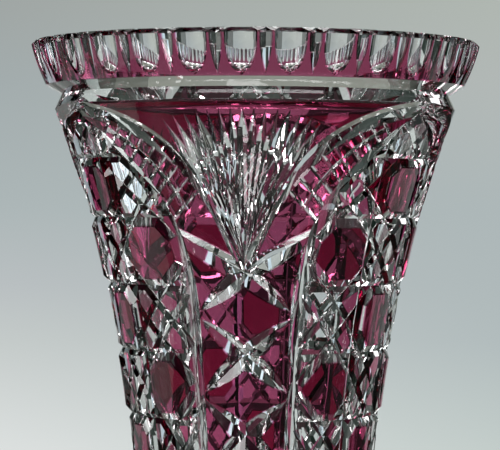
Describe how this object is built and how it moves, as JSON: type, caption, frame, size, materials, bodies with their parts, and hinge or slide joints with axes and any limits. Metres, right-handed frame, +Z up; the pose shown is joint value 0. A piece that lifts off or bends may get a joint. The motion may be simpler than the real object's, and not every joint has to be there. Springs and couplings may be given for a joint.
{
  "type": "glass vase",
  "caption": "Tall trumpet-shaped vase in clear crystal cased with ruby glass, cut through with flutes, fans, hatched leaves, stars and buttons.",
  "frame": {"origin": "centre of the foot, on the surface that the vase stands on", "axes": "+Z up along the axis of the vase; -Y is the front, the middle of one fan and its column"},
  "size_m": [0.1896, 0.189, 0.3],
  "materials": {
    "crystal": "polished",
    "ruby": "polished"
  },
  "bodies": {
    "root": {"crystal_body": "crystal", "ruby_button_1_1b": "ruby", "ruby_button_1_2a": "ruby", "ruby_button_1_2c": "ruby", "ruby_button_1_3b": "ruby", "ruby_button_1_4a": "ruby", "ruby_button_1_4c": "ruby", "ruby_button_1_5b": "ruby", "ruby_button_1_6a": "ruby", "ruby_button_1_6c": "ruby", "ruby_button_1_7b": "ruby", "ruby_button_2_1b": "ruby", "ruby_button_2_2a": "ruby", "ruby_button_2_2c": "ruby", "ruby_button_2_3b": "ruby", "ruby_button_2_4a": "ruby", "ruby_button_2_4c": "ruby", "ruby_button_2_5b": "ruby", "ruby_button_2_6a": "ruby", "ruby_button_2_6c": "ruby", "ruby_button_2_7b": "ruby", "ruby_button_3_1b": "ruby", "ruby_button_3_2a": "ruby", "ruby_button_3_2c": "ruby", "ruby_button_3_3b": "ruby", "ruby_button_3_4a": "ruby", "ruby_button_3_4c": "ruby", "ruby_button_3_5b": "ruby", "ruby_button_3_6a": "ruby", "ruby_button_3_6c": "ruby", "ruby_button_3_7b": "ruby", "ruby_collar": "ruby", "ruby_column_1": "ruby", "ruby_column_2": "ruby", "ruby_column_3": "ruby", "ruby_fan_1": "ruby", "ruby_fan_2": "ruby", "ruby_fan_3": "ruby", "ruby_foot": "ruby", "ruby_leaf_1_left": "ruby", "ruby_leaf_1_right": "ruby", "ruby_leaf_2_left": "ruby", "ruby_leaf_2_right": "ruby", "ruby_leaf_3_left": "ruby", "ruby_leaf_3_right": "ruby"}
  },
  "joints": []
}
